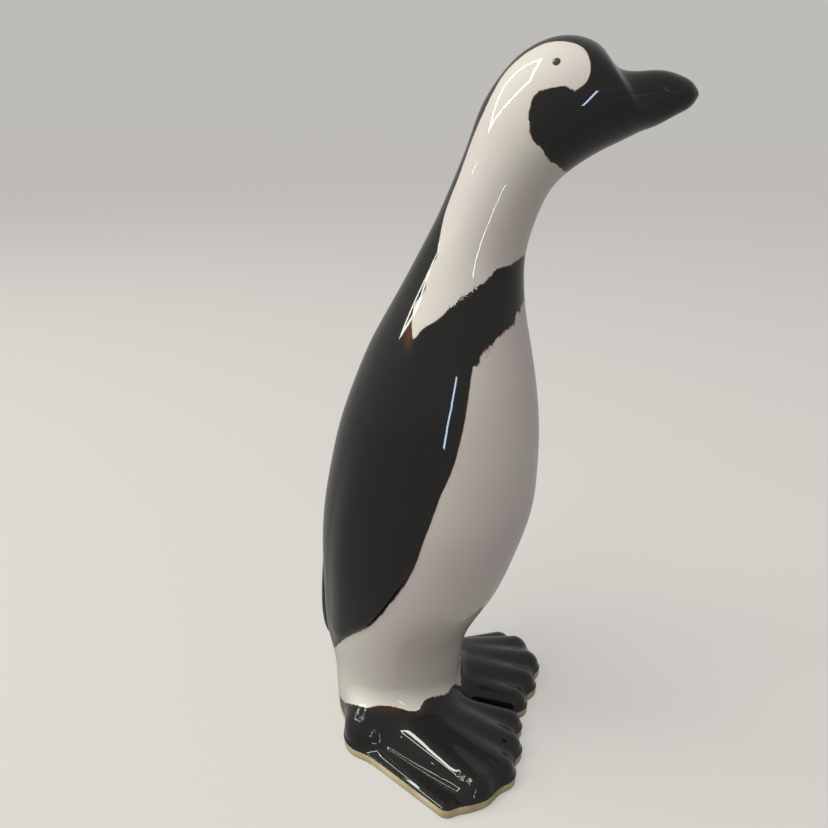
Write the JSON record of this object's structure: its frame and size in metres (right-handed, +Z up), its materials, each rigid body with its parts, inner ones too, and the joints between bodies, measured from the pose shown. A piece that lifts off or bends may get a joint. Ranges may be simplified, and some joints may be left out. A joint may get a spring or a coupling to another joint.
{
  "type": "penguin figurine",
  "caption": "Free-standing glazed ceramic penguin with a tall leaning body, bent neck, blunt bill, low pressed wings, short tail and broad splayed webbed feet on a flat base.",
  "frame": {"origin": "on the plane that the figurine stands on, under the middle of the trunk's base", "axes": "+Z up; the bird faces -Y, so its left side is +X; X = 0 is its middle plane"},
  "size_m": [0.178, 0.1991, 0.4021],
  "materials": {
    "white_glaze": "warm white underglaze under a clear glossy glaze; the scene paints the black areas of the head and back",
    "black_glaze": "brushed black under a clear glossy glaze, breaking brown at its thin edges",
    "eye_glaze": "a raised dark glossy bead",
    "bare_clay": "matt unglazed cream clay"
  },
  "bodies": {
    "root": {"trunk": "white_glaze", "neck_and_head": "white_glaze", "bill": "black_glaze", "left_wing": "black_glaze", "right_wing": "black_glaze", "tail": "black_glaze", "left_eye": "eye_glaze", "right_eye": "eye_glaze", "left_foot": "black_glaze", "right_foot": "black_glaze", "base_slab": "bare_clay"}
  },
  "joints": []
}
